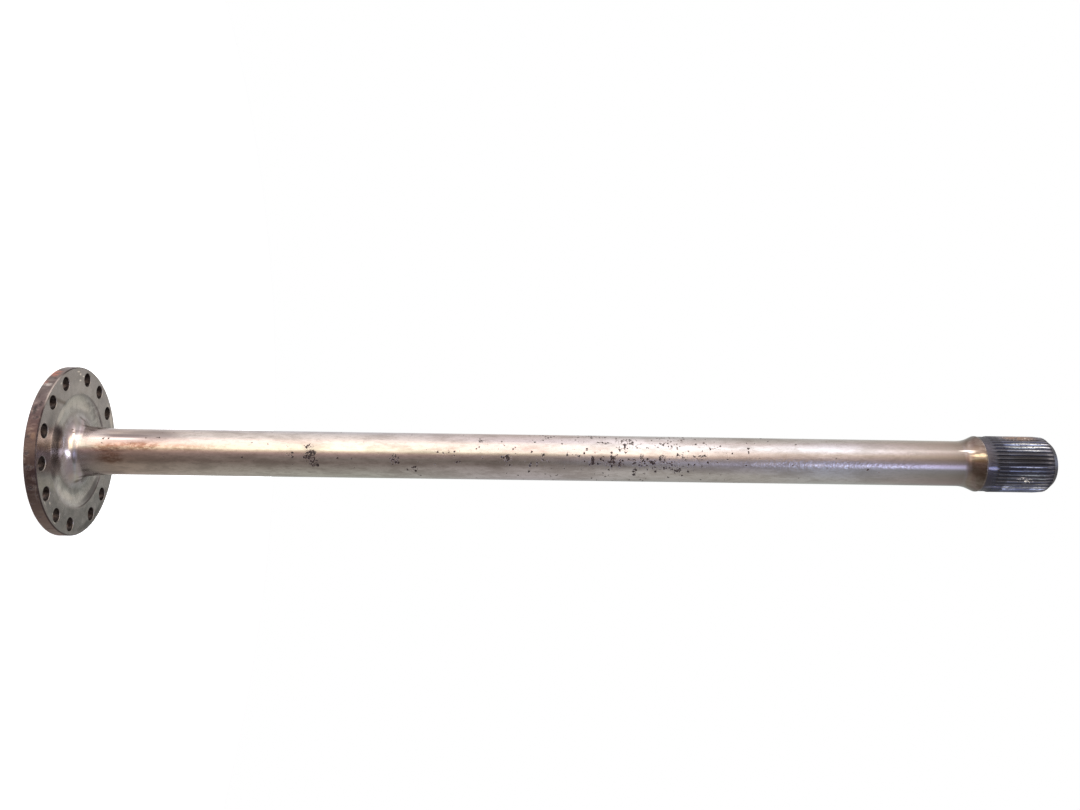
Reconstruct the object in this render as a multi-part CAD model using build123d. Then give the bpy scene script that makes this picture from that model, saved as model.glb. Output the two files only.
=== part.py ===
from build123d import *
import math
import os

# Flanged axle shaft of a driving axle: one steel forging, turned, drilled and splined.
# It stands on the flange's outer face. Z runs up along the shaft, millimetres.

# Bolted flange
flange_od = 190.0
flange_thickness = 13.5
rim_chamfer = 1.0
bolt_hole_d = 15.5
bolt_edge_distance = 12.5
bolt_hole_chamfer = 0.5
holes_in_group = 7
hole_pitch_deg = 24.0

# Hub side of the flange: flat seat outside, small step into a turned dish, then the neck of the shaft
seat_inner_d = 129.0
seat_step = 0.5
dish_depth = 1.5
neck_fillet_radius = 18.0
neck_taper_radius = 300.0
neck_taper_deg = 7.0

# Shaft
shaft_d = 52.0
overall_length = 1125.5

# Flare from the shaft up to the shoulder behind the spline
shoulder_d = 64.3
shoulder_to_end = 85.0
shoulder_land = 1.5
flare_angle_deg = 25.0
flare_radius = 40.0

# Relief turned between the shoulder and the full tooth diameter
relief_d = 63.2
relief_slope_length = 1.5
relief_length = 10.0

# Involute spline, 30 degree pressure angle, flat root, side fit
spline_module = 1.5
spline_teeth = 42
pressure_angle_deg = 30.0
tip_d = 64.7
root_d = 61.7
tooth_thickness = 2.558
full_depth_to_end = 67.5
hob_radius = 78.0

# Lead-in at the free end
tip_lead_length = 9.0
tip_lead_drop = 0.8
end_chamfer_length = 7.0
end_face_d = 52.0

# Centre drills in both end faces
centre_mouth_d = 16.0
centre_angle_deg = 60.0
centre_bore_d = 8.0
centre_bore_depth = 20.0

# Reach of the cutting solids past the metal
cutter_overrun = 2.0


def taper_length(small_radius, large_radius, angle_deg):
    """Length of a cone between two radii for an angle to its axis."""
    return (large_radius - small_radius) / math.tan(math.radians(angle_deg))


def axle_profile():
    """Half section of the whole forging: radius along X, length along Z."""
    rim = flange_od / 2
    shaft = shaft_d / 2
    seat_edge = seat_inner_d / 2
    dish_edge = seat_edge - seat_step
    taper = math.radians(neck_taper_deg)
    neck_root = shaft + neck_taper_radius * (1 - math.cos(taper))
    neck_foot = neck_root + neck_fillet_radius * math.cos(taper)
    dish_floor = flange_thickness - seat_step - dish_depth
    neck_root_z = dish_floor + neck_fillet_radius * (1 - math.sin(taper))
    neck_top_z = neck_root_z + neck_taper_radius * math.sin(taper)
    dish_span = dish_edge - neck_foot
    dish_radius = (dish_span**2 + dish_depth**2) / (2 * dish_depth)
    dish_angle = math.degrees(math.asin(dish_span / dish_radius))

    shoulder = shoulder_d / 2
    relief = relief_d / 2
    tip = tip_d / 2
    shoulder_z = overall_length - shoulder_to_end
    relief_z = shoulder_z + shoulder_land + relief_slope_length
    tip_z = relief_z + relief_length + relief_slope_length
    lead_z = overall_length - end_chamfer_length - tip_lead_length
    chamfer_z = overall_length - end_chamfer_length

    arc_rise = flare_radius * (1 - math.cos(math.radians(flare_angle_deg)))
    arc_length = flare_radius * math.sin(math.radians(flare_angle_deg))
    cone_length = taper_length(shaft + arc_rise, shoulder, flare_angle_deg)
    flare_z = shoulder_z - cone_length - arc_length

    with BuildSketch(Plane.XZ) as section:
        with BuildLine():
            Polyline(
                (0, 0),
                (rim - rim_chamfer, 0),
                (rim, rim_chamfer),
                (rim, flange_thickness - rim_chamfer),
                (rim - rim_chamfer, flange_thickness),
                (seat_edge, flange_thickness),
                (dish_edge, flange_thickness - seat_step),
            )
            neck = JernArc((shaft, neck_top_z), (0, -1), neck_taper_radius, neck_taper_deg)
            fillet = JernArc(neck @ 1, neck % 1, neck_fillet_radius, 90 - neck_taper_deg)
            JernArc(fillet @ 1, (1, 0), dish_radius, dish_angle)
            Line((shaft, neck_top_z), (shaft, flare_z))
            flare = JernArc((shaft, flare_z), (0, 1), flare_radius, -flare_angle_deg)
            Polyline(
                flare @ 1,
                (shoulder, shoulder_z),
                (shoulder, shoulder_z + shoulder_land),
                (relief, relief_z),
                (relief, relief_z + relief_length),
                (tip, tip_z),
                (tip, lead_z),
                (tip - tip_lead_drop, chamfer_z),
                (end_face_d / 2, overall_length),
                (0, overall_length),
                (0, 0),
            )
        make_face()
    return section.sketch


def bolt_holes():
    """Two groups of clearance holes on one circle, each hole chamfered at both faces."""
    hole = bolt_hole_d / 2
    mouth = hole + bolt_hole_chamfer
    with BuildPart() as cutter:
        with BuildSketch(Plane.XZ):
            with BuildLine():
                Polyline(
                    (0, -cutter_overrun),
                    (mouth, -cutter_overrun),
                    (mouth, 0),
                    (hole, bolt_hole_chamfer),
                    (hole, flange_thickness - bolt_hole_chamfer),
                    (mouth, flange_thickness),
                    (mouth, flange_thickness + cutter_overrun),
                    (0, flange_thickness + cutter_overrun),
                    close=True,
                )
            make_face()
        revolve(axis=Axis.Z)
    half_span = hole_pitch_deg * (holes_in_group - 1) / 2
    first_group = [hole_pitch_deg * i - half_span for i in range(holes_in_group)]
    angles = first_group + [angle + 180 for angle in first_group]
    place = Pos(flange_od / 2 - bolt_edge_distance, 0, 0)
    return [Rot(0, 0, angle) * place * cutter.part for angle in angles]


def involute(angle):
    """Involute function of a pressure angle in radians."""
    return math.tan(angle) - angle


def half_space_angle(radius):
    """Half the angle, in radians, that one tooth space takes up at a radius."""
    pitch_radius = spline_module * spline_teeth / 2
    pressure = math.radians(pressure_angle_deg)
    base_radius = pitch_radius * math.cos(pressure)
    local_pressure = math.acos(min(1.0, base_radius / radius))
    half_tooth = tooth_thickness / (2 * pitch_radius) + involute(pressure) - involute(local_pressure)
    return math.pi / spline_teeth - half_tooth


def space_section():
    """Cross-section of one tooth space, involute flanks on a flat root, out past the tips."""
    root = root_d / 2
    outer = tip_d / 2 + cutter_overrun
    radii = [root + (outer - root) * share for share in (0, 0.3, 0.65, 1)]
    upper = [(r * math.cos(half_space_angle(r)), r * math.sin(half_space_angle(r))) for r in radii]
    lower = [(x, -y) for x, y in upper]
    with BuildSketch() as section:
        with BuildLine():
            Spline(*upper)
            Spline(*lower)
            Line(upper[0], lower[0])
            Line(upper[-1], lower[-1])
        make_face()
    return section.sketch


def spline_spaces():
    """All tooth spaces: straight to the free end, then run out along the hob's circle."""
    full_depth_z = overall_length - full_depth_to_end
    section = Pos(0, 0, full_depth_z) * space_section()
    straight = extrude(section, full_depth_to_end + cutter_overrun, dir=(0, 0, 1))
    hob_axis = Axis((root_d / 2 + hob_radius, 0, full_depth_z), (0, 1, 0))
    deepest_cut = max(shoulder_d, tip_d) / 2 - root_d / 2 + cutter_overrun / 2
    run_out_deg = math.degrees(math.acos(1 - deepest_cut / hob_radius))
    run_out = revolve(section, axis=hob_axis, revolution_arc=-run_out_deg)
    space = straight + run_out
    return [Rot(0, 0, 360 * i / spline_teeth) * space for i in range(spline_teeth)]


def centre_drill():
    """Centre hole, mouth at the origin and running down along minus Z."""
    mouth = centre_mouth_d / 2
    bore = centre_bore_d / 2
    cone_depth = taper_length(bore, mouth, centre_angle_deg / 2)
    point_depth = taper_length(0, bore, centre_angle_deg)
    with BuildPart() as cutter:
        with BuildSketch(Plane.XZ):
            with BuildLine():
                Polyline(
                    (0, cutter_overrun),
                    (mouth, cutter_overrun),
                    (mouth, 0),
                    (bore, -cone_depth),
                    (bore, -centre_bore_depth),
                    (0, -centre_bore_depth - point_depth),
                    close=True,
                )
            make_face()
        revolve(axis=Axis.Z)
    return cutter.part


def axle_shaft():
    """The whole shaft as one solid."""
    blank = revolve(axle_profile(), axis=Axis.Z)
    blank -= bolt_holes()
    blank -= Pos(0, 0, overall_length) * centre_drill()
    blank -= Rot(180, 0, 0) * centre_drill()
    blank -= spline_spaces()
    return blank


shaft = axle_shaft()
os.makedirs("parts", exist_ok=True)
export_step(shaft, "parts/axle_shaft.step")
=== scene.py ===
import math
import bpy
import bmesh
from mathutils import Matrix, Vector


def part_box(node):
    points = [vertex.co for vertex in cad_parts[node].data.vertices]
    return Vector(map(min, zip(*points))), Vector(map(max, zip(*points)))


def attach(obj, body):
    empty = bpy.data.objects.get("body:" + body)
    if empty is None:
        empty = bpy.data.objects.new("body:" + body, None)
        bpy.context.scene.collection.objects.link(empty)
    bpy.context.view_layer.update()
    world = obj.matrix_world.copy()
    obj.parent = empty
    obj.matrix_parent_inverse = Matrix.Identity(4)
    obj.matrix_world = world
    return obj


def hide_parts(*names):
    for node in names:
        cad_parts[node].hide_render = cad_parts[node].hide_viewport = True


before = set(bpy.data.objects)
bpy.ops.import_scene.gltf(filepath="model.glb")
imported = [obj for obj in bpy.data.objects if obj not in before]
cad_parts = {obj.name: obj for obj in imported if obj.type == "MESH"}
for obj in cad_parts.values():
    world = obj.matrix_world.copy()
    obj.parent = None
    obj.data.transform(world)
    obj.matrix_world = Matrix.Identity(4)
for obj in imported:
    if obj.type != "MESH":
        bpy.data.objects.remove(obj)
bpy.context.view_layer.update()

mm = 0.001
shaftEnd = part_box("axle_shaft")[1].z / mm  # free end of the spline
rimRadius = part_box("axle_shaft")[1].x / mm  # outside of the flange

# The part stands upright here and lies across the photograph. Seen from the camera, the gap between
# the two groups of holes is turned a little from the picture's vertical.
holeTurn = math.radians(-9.59)

# Settings that many nodes share. Of the numbered sockets, Map Range takes its value at 0, the old range
# at 1 and 2 and the new one at 3 and 4. Mix takes its share at 0, values at 2 and 3, colours at 6 and 7.
smooth = {"interpolation_type": "SMOOTHSTEP"}
colourMix = {"data_type": "RGBA"}
valueMix = {"data_type": "FLOAT"}
upright = {"rotation_type": "Z_AXIS"}
plus = {"operation": "ADD"}
minus = {"operation": "SUBTRACT"}
times = {"operation": "MULTIPLY"}
greater = {"operation": "MAXIMUM"}
length = {"operation": "LENGTH"}
arcTangent = {"operation": "ARCTAN2"}


def add(tree, kind, settings=None, inputs=None, out=None):
    # Adds one node with its settings, its values and its links, and gives back one of its outputs
    node = tree.nodes.new("ShaderNode" + kind)
    for name, value in (settings or {}).items():
        if name == "stops":
            fillRamp(node.color_ramp, value)
        else:
            setattr(node, name, value)
    for socket, value in (inputs or {}).items():
        if isinstance(value, bpy.types.NodeSocket):
            tree.links.new(value, node.inputs[socket])
        else:
            node.inputs[socket].default_value = value
    if out is not None:
        return node.outputs[out]
    return next((socket for socket in node.outputs if socket.enabled), node)


def fillRamp(ramp, stops):
    # Stops are (place, colour) or (place, grey), places from 0 to 1. A ramp sorts its stops when one is
    # moved, so the colours follow once all places are set.
    while len(ramp.elements) < len(stops):
        ramp.elements.new(1.0)
    for element, (place, colour) in zip(ramp.elements, stops):
        element.position = place
    for element, (place, colour) in zip(ramp.elements, stops):
        isGrey = isinstance(colour, (int, float))
        element.color = (colour, colour, colour, 1) if isGrey else tuple(colour)[:3] + (1,)


def toLinear(hexColour):
    # sRGB hex to the linear values that shaders take
    channels = [int(hexColour[i:i + 2], 16) / 255 for i in (1, 3, 5)]
    return tuple(c / 12.92 if c <= 0.04045 else ((c + 0.055) / 1.055) ** 2.4 for c in channels) + (1,)


# Camera on the side of the photograph's view
camera = {
    "place": (-1054.3, 178.1, 507.3),
    "turn": (-147.169, -88.270, 142.109),  # looks across the shaft, rolled so that the shaft lies level
    "lens": 30.94,
    "shift": (0.0008, -0.0196),
}
cameraData = bpy.data.cameras.new("camera")
cameraData.sensor_width = 36
cameraData.lens = camera["lens"]
cameraData.shift_x, cameraData.shift_y = camera["shift"]
cameraData.clip_start = 0.01
cameraObject = bpy.data.objects.new("camera", cameraData)
cameraObject.location = Vector(camera["place"]) * mm
cameraObject.rotation_euler = [math.radians(a) for a in camera["turn"]]
bpy.context.scene.collection.objects.link(cameraObject)
bpy.context.scene.camera = cameraObject
print("camera placed")

# The forging, all lengths in millimetres
forging = {
    "flangeThickness": 13.5,
    "rimChamfer": 1.0,
    "seatRadius": 64.5,
    "seatStep": 0.5,
    "dishDepth": 1.5,
    "neckFillet": 18.0,
    "neckTaperRadius": 300.0,
    "neckTaper": math.radians(7),
    "shaftRadius": 26.0,
    "shoulderRadius": 32.15,
    "shoulderToEnd": 85.0,
    "shoulderLand": 1.5,
    "flareAngle": math.radians(25),
    "flareRadius": 40.0,
    "reliefRadius": 31.6,
    "reliefSlope": 1.5,
    "reliefLength": 10.0,
    "leadLength": 9.0,
    "leadDrop": 0.8,
    "endChamfer": 7.0,
    "endRadius": 26.0,
    "mouthRadius": 8.0,  # of the centre drill
    "centreBore": 4.0,
    "centreDepth": 20.0,
    "centrePoint": 22.31,
    "centreAngle": math.radians(30),  # half of the centre drill's 60 degrees
    "rimRounding": 0.35,
    "faceRounding": 0.21,
    "shoulderRounding": 0.6,
    # rings of the mesh: on the flat faces, beside their corners, and steps along each part of the section
    "faceRings": [9, 50],
    "besideSeat": 1.6,
    "besideCorner": 0.6,
    "rimSteps": 10,
    "dishSteps": 16,
    "filletSteps": 22,
    "taperSteps": 10,
    "shaftSteps": 24,
    "flareSteps": 10,
    "coneSteps": 6,
    "reliefSteps": 6,
    "tipSlopeSteps": 2,
    "toothSteps": 30,
    "leadSteps": 3,
    "chamferSteps": 4,
}

# Involute spline, cut by a hob that leaves a run-out at the shoulder
spline = {
    "module": 1.5,
    "teeth": 42,
    "pressure": math.radians(30),
    "tipRadius": 32.35,
    "rootRadius": 30.85,
    "toothThickness": 2.558,
    "fullDepthToEnd": 67.5,
    "hobRadius": 78.0,
    "edgeBreak": 0.16,
    "edgeBreakShare": 0.3,  # and at most this share of the depth
    "rootCorner": 0.2,
    "rootCornerShare": 0.4,
    "midFlank": 0.28,  # where the flank's middle row of vertices lies, as a share of the depth
    "coreRadius": 28.0,  # everything inside this is end face or centre hole
}

# Bolt holes in two groups on one circle
holes = {"circleRadius": 82.5, "radius": 7.75, "chamfer": 0.5, "inGroup": 7, "pitch": 24.0, "segments": 64}

pointsPerTooth = 10
segmentsAround = spline["teeth"] * pointsPerTooth


def arcPoints(centre, radius, start, end, count):
    # Points on an arc of the half section, angles in radians from the outward direction
    angles = [start + (end - start) * i / count for i in range(count + 1)]
    return [(centre[0] + radius * math.cos(a), centre[1] + radius * math.sin(a)) for a in angles]


def lineTo(points, end, count):
    # Carries the half section on to a new end in equal steps
    start = points[-1]
    points += [tuple(a + (b - a) * i / count for a, b in zip(start, end)) for i in range(1, count)]
    points.append(end)


def runOutDepth(toEnd):
    # How far the root has risen, a distance behind the last full depth
    behind = max(0.0, toEnd - spline["fullDepthToEnd"])
    return spline["hobRadius"] - math.sqrt(spline["hobRadius"] ** 2 - behind ** 2)


def sectionPoints():
    # Half section from the centre hole of the outer face to the centre hole of the spline end
    f = forging
    rim, thick, bevel, beside = rimRadius, f["flangeThickness"], f["rimChamfer"], f["besideCorner"]
    mouthDepth = (f["mouthRadius"] - f["centreBore"]) / math.tan(f["centreAngle"])
    points = [(0, f["centrePoint"]), (f["centreBore"], f["centreDepth"]), (f["centreBore"], mouthDepth)]
    points += [(f["mouthRadius"], 0)] + [(radius, 0) for radius in f["faceRings"]]
    points += [(rim - bevel - beside, 0), (rim - bevel, 0), (rim, bevel)]
    lineTo(points, (rim, thick - bevel), f["rimSteps"])
    points += [(rim - bevel, thick), (rim - bevel - beside, thick)]
    points += [(f["seatRadius"] + f["besideSeat"], thick), (f["seatRadius"], thick)]

    # dish: a small step, then a shallow arc down to the foot of the neck
    taper = f["neckTaper"]
    neckRoot = f["shaftRadius"] + f["neckTaperRadius"] * (1 - math.cos(taper))
    foot = neckRoot + f["neckFillet"] * math.cos(taper)
    span = f["seatRadius"] - f["seatStep"] - foot
    floorZ = thick - f["seatStep"] - f["dishDepth"]
    dishRadius = (span ** 2 + f["dishDepth"] ** 2) / (2 * f["dishDepth"])
    dishCentre = (foot, floorZ + dishRadius)
    dishTop = math.asin(span / dishRadius) - math.pi / 2
    points += arcPoints(dishCentre, dishRadius, dishTop, -math.pi / 2, f["dishSteps"])

    # neck: a fillet, then a long soft taper into the plain shaft
    neckCentre = (foot, floorZ + f["neckFillet"])
    points += arcPoints(neckCentre, f["neckFillet"], -math.pi / 2, taper - math.pi, f["filletSteps"])[1:]
    neckTop = points[-1][1] + f["neckTaperRadius"] * math.sin(taper)
    taperCentre = (f["shaftRadius"] + f["neckTaperRadius"], neckTop)
    points += arcPoints(taperCentre, f["neckTaperRadius"], math.pi + taper, math.pi, f["taperSteps"])[1:]

    # shaft, flare, cone and shoulder
    shoulderZ = shaftEnd - f["shoulderToEnd"]
    arcRise = f["flareRadius"] * (1 - math.cos(f["flareAngle"]))
    cone = (f["shoulderRadius"] - f["shaftRadius"] - arcRise) / math.tan(f["flareAngle"])
    flareZ = shoulderZ - cone - f["flareRadius"] * math.sin(f["flareAngle"])
    lineTo(points, (f["shaftRadius"], flareZ), f["shaftSteps"])
    flareCentre = (f["shaftRadius"] + f["flareRadius"], flareZ)
    flareEnd = math.pi - f["flareAngle"]
    points += arcPoints(flareCentre, f["flareRadius"], math.pi, flareEnd, f["flareSteps"])[1:]
    lineTo(points, (f["shoulderRadius"], shoulderZ), f["coneSteps"])
    points += [(f["shoulderRadius"], shoulderZ + f["shoulderLand"])]

    # relief and run-outs: one ring where the spaces come out of the relief, then closer rings
    reliefZ = shoulderZ + f["shoulderLand"] + f["reliefSlope"]
    reliefEnd = reliefZ + f["reliefLength"]
    rise = f["reliefRadius"] - spline["rootRadius"]
    runOut = math.sqrt(2 * spline["hobRadius"] * rise - rise ** 2)
    points += [(f["reliefRadius"], reliefZ)]
    points += [(f["reliefRadius"], shaftEnd - spline["fullDepthToEnd"] - runOut)]
    lineTo(points, (f["reliefRadius"], reliefEnd), f["reliefSteps"])
    lineTo(points, (spline["tipRadius"], reliefEnd + f["reliefSlope"]), f["tipSlopeSteps"])

    # teeth, lead-in, and the end chamfer with a ring where it meets the tooth roots
    chamferZ = shaftEnd - f["endChamfer"]
    chamferRadius = spline["tipRadius"] - f["leadDrop"]
    slope = (chamferRadius - f["endRadius"]) / f["endChamfer"]
    rootExit = chamferZ + (chamferRadius - spline["rootRadius"]) / slope
    lineTo(points, (spline["tipRadius"], chamferZ - f["leadLength"]), f["toothSteps"])
    lineTo(points, (chamferRadius, chamferZ), f["leadSteps"])
    lineTo(points, (spline["rootRadius"], rootExit), f["chamferSteps"])
    lineTo(points, (f["endRadius"], shaftEnd), f["chamferSteps"])
    points += [(f["endRadius"] - beside, shaftEnd), (f["mouthRadius"] + beside, shaftEnd)]
    points += [(f["mouthRadius"], shaftEnd), (f["centreBore"], shaftEnd - mouthDepth)]
    points += [(f["centreBore"], shaftEnd - f["centreDepth"]), (0, shaftEnd - f["centrePoint"])]
    return points


def involute(angle):
    return math.tan(angle) - angle


def halfSpaceAngle(radius):
    # Half of the angle that one tooth space takes up at a radius
    pitchRadius = spline["module"] * spline["teeth"] / 2
    baseRadius = pitchRadius * math.cos(spline["pressure"])
    local = math.acos(min(1.0, baseRadius / radius))
    halfTooth = spline["toothThickness"] / (2 * pitchRadius) + involute(spline["pressure"]) - involute(local)
    return math.pi / spline["teeth"] - halfTooth


def cutTeeth(bm):
    # Sinks the vertices of the spline end into the tooth spaces. Counted from the middle of a space, row 0
    # is the root, 1 its corner, 2 the flank, 3 and 4 the broken edge, and 5 stays on the tooth's tip.
    toothAngle = 2 * math.pi / spline["teeth"]
    shoulderZ = shaftEnd - forging["shoulderToEnd"] + forging["shoulderLand"]
    onTip = pointsPerTooth // 2
    closeEnough = 1e-3
    shallow = 0.01  # where a space is no deeper than this, the rows keep their even spacing
    for vert in bm.verts:
        x, y, z = (c / mm for c in vert.co)
        surface = math.hypot(x, y)
        if z < shoulderZ or surface < spline["coreRadius"]:
            continue
        rise = runOutDepth(shaftEnd - z)
        bottom = spline["rootRadius"] + rise
        if surface < bottom - closeEnough:
            continue
        depth = max(0.0, surface - bottom)
        angle = math.atan2(y, x)
        tooth = round(angle / toothAngle)
        step = round((angle - tooth * toothAngle) / toothAngle * pointsPerTooth)
        row = abs(step)
        if row == onTip:
            continue
        edgeBreak = min(spline["edgeBreak"], spline["edgeBreakShare"] * depth)
        corner = min(spline["rootCorner"], spline["rootCornerShare"] * depth)
        radius = (bottom, bottom, bottom + spline["midFlank"] * depth, surface - edgeBreak, surface)[row]
        local = halfSpaceAngle(radius - rise)
        if row == 0:
            local = 0.0
        if row == 1:
            local -= corner / bottom
        if row == 4:
            local += edgeBreak / surface
        if depth < shallow:
            local = row * toothAngle / pointsPerTooth
        turned = tooth * toothAngle + math.copysign(local, step)
        vert.co = Vector((radius * math.cos(turned), radius * math.sin(turned), z)) * mm


def spinSection(points, centre=0.0, segments=segmentsAround):
    # Turns a half section round an upright axis and closes it
    bm = bmesh.new()
    verts = [bm.verts.new(((centre + r) * mm, 0, z * mm)) for r, z in points]
    edges = [bm.edges.new(pair) for pair in zip(verts, verts[1:])]
    bmesh.ops.spin(
        bm,
        geom=verts + edges,
        cent=(centre * mm, 0, 0),
        axis=(0, 0, 1),
        angle=2 * math.pi,
        steps=segments,
        use_merge=True,
        use_duplicate=False,
    )
    bmesh.ops.remove_doubles(bm, verts=bm.verts, dist=1e-6)
    return bm


def roundCorner(bm, radius, height, width, segments):
    # Rounds the turned corner at one radius and height
    near = 0.02
    ring = []
    for edge in bm.edges:
        ends = [(v.co.xy.length / mm, v.co.z / mm) for v in edge.verts]
        if all(abs(r - radius) < near and abs(z - height) < near for r, z in ends):
            ring.append(edge)
    bmesh.ops.bevel(
        bm,
        geom=ring,
        offset=width * mm,
        offset_type="OFFSET",
        affect="EDGES",
        segments=segments,
        profile=0.5,
        material=-1,
        clamp_overlap=True,
    )


def meshObject(name, bm):
    mesh = bpy.data.meshes.new(name)
    bm.to_mesh(mesh)
    bm.free()
    made = bpy.data.objects.new(name, mesh)
    bpy.context.scene.collection.objects.link(made)
    return made


def boltHoleCutter():
    # One chamfered cutter for each bolt hole, in two groups
    thick, hole, chamfer = forging["flangeThickness"], holes["radius"], holes["chamfer"]
    mouth = hole + chamfer
    past = 2  # millimetres that the cutter reaches past the metal
    section = [(0, -past), (mouth, -past), (mouth, 0), (hole, chamfer), (hole, thick - chamfer)]
    section += [(mouth, thick), (mouth, thick + past), (0, thick + past)]
    bm = spinSection(section, holes["circleRadius"], holes["segments"])
    first = bm.verts[:] + bm.edges[:] + bm.faces[:]
    halfSpan = holes["pitch"] * (holes["inGroup"] - 1) / 2
    turns = [holes["pitch"] * i - halfSpan for i in range(holes["inGroup"])]
    for turn in turns + [180 + t for t in turns]:
        copy = bmesh.ops.duplicate(bm, geom=first)["geom"]
        verts = [g for g in copy if isinstance(g, bmesh.types.BMVert)]
        bmesh.ops.rotate(bm, verts=verts, cent=(0, 0, 0), matrix=Matrix.Rotation(math.radians(turn), 3, "Z"))
    bmesh.ops.delete(bm, geom=[g for g in first if isinstance(g, bmesh.types.BMVert)], context="VERTS")
    bmesh.ops.recalc_face_normals(bm, faces=bm.faces)
    return meshObject("boltHoleCutter", bm)


def forgeShaft():
    bm = spinSection(sectionPoints())
    f = forging
    bevel, thick = f["rimChamfer"], f["flangeThickness"]
    roundCorner(bm, rimRadius, bevel, f["rimRounding"], 2)
    roundCorner(bm, rimRadius, thick - bevel, f["rimRounding"], 2)
    roundCorner(bm, rimRadius - bevel, thick, f["faceRounding"], 2)
    roundCorner(bm, f["seatRadius"], thick, f["faceRounding"], 2)
    roundCorner(bm, f["shoulderRadius"], shaftEnd - f["shoulderToEnd"], f["shoulderRounding"], 3)
    cutTeeth(bm)
    bmesh.ops.recalc_face_normals(bm, faces=bm.faces)
    blank = meshObject("forgedShaft", bm)
    cutter = boltHoleCutter()
    drill = blank.modifiers.new("boltHoles", "BOOLEAN")
    drill.operation = "DIFFERENCE"
    drill.solver = "EXACT"
    drill.object = cutter
    depsgraph = bpy.context.evaluated_depsgraph_get()
    drilled = bpy.data.meshes.new_from_object(blank.evaluated_get(depsgraph))
    blank.modifiers.clear()
    blank.data = drilled
    drilled.name = "forgedShaft"
    bpy.data.objects.remove(cutter)
    return blank


shaft = forgeShaft()
print("forging spun, splined and drilled:", len(shaft.data.polygons), "faces")


def newMaterial(name):
    material = bpy.data.materials.new(name)
    material.use_nodes = True
    tree = material.node_tree
    tree.nodes.clear()
    return material, tree


def shaftCoordinates(tree):
    # Object coordinates turned to the photograph, and the same as radius, angle and height.
    # The angle is 0 on the camera's side and 90 degrees at the top of the photograph.
    place = add(tree, "TexCoord", out="Object")
    turned = add(tree, "VectorRotate", upright, {"Vector": place, "Angle": -holeTurn})
    parts = add(tree, "SeparateXYZ", None, {0: turned}, out="X").node.outputs
    flat = add(tree, "CombineXYZ", None, {0: parts["X"], 1: parts["Y"]})
    radius = add(tree, "VectorMath", length, {0: flat}, out="Value")
    nearSide = add(tree, "Math", times, {0: parts["X"], 1: -1.0})
    angle = add(tree, "Math", arcTangent, {0: parts["Y"], 1: nearSide})
    around = add(tree, "Math", times, {0: angle, 1: radius})
    return {
        "place": turned,
        "radius": radius,
        "height": parts["Z"],
        "angle": angle,
        "wrapped": add(tree, "CombineXYZ", None, {0: parts["Z"], 1: around}),
    }


def scaled(tree, vector, sizes):
    # Pattern coordinates from feature sizes in millimetres
    factors = tuple(1 / (size * mm) for size in sizes)
    return add(tree, "VectorMath", times, {0: vector, 1: factors})


def noisePatterns(tree, vector, patterns):
    # A noise for each pattern of a table, in its order: feature sizes in millimetres, detail, roughness
    # and distortion
    made = []
    for sizes, detail, roughness, distortion in patterns.values():
        values = {"Vector": scaled(tree, vector, sizes), "Scale": 1.0, "Detail": detail}
        values = {**values, "Roughness": roughness, "Distortion": distortion}
        made.append(add(tree, "TexNoise", None, values, out="Fac"))
    return made


def layOver(tree, finish, colour, layers):
    # Lays tones of a finish over a colour, each where its mask shows it
    for mask, tone in layers:
        colour = add(tree, "Mix", colourMix, {0: mask, 6: colour, 7: toLinear(finish[tone])})
    return colour


def stackedRelief(tree, layers):
    # Bumps on top of each other: height, strength and depth in millimetres
    relief = {}
    for height, strength, depth in layers:
        values = {"Height": height, "Strength": strength, "Distance": depth * mm, **relief}
        relief = {"Normal": add(tree, "Bump", None, values)}
    return relief


def spotMask(tree, unrolled, spots):
    # Soft ellipses on the unrolled surface: height and arc place in millimetres, half sizes, strength.
    # A spot is full inside 0.35 of its half sizes and gone at 1.15 of them.
    total = None
    for height, arc, halfLength, halfWidth, strength in spots:
        centre = (height * mm, arc * mm, 0)
        away = add(tree, "VectorMath", minus, {0: unrolled, 1: centre})
        inside = scaled(tree, away, (halfLength, halfWidth, 1000))
        distance = add(tree, "VectorMath", length, {0: inside}, out="Value")
        spot = add(tree, "MapRange", smooth, {0: distance, 1: 1.15, 2: 0.35, 3: 0.0, 4: strength})
        total = spot if total is None else add(tree, "Math", greater, {0: total, 1: spot})
    return total


def byAngle(spots, middle):
    # Spots given by angle, at one radius or height, with the degrees turned into millimetres of arc
    arc = math.radians(middle)
    return [(place, angle * arc, deep, wide * arc, strength) for angle, place, wide, deep, strength in spots]


def fromEnd(spots):
    # Spots given by their distance from the free end
    return [(shaftEnd - toEnd, *rest) for toEnd, *rest in spots]


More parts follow.
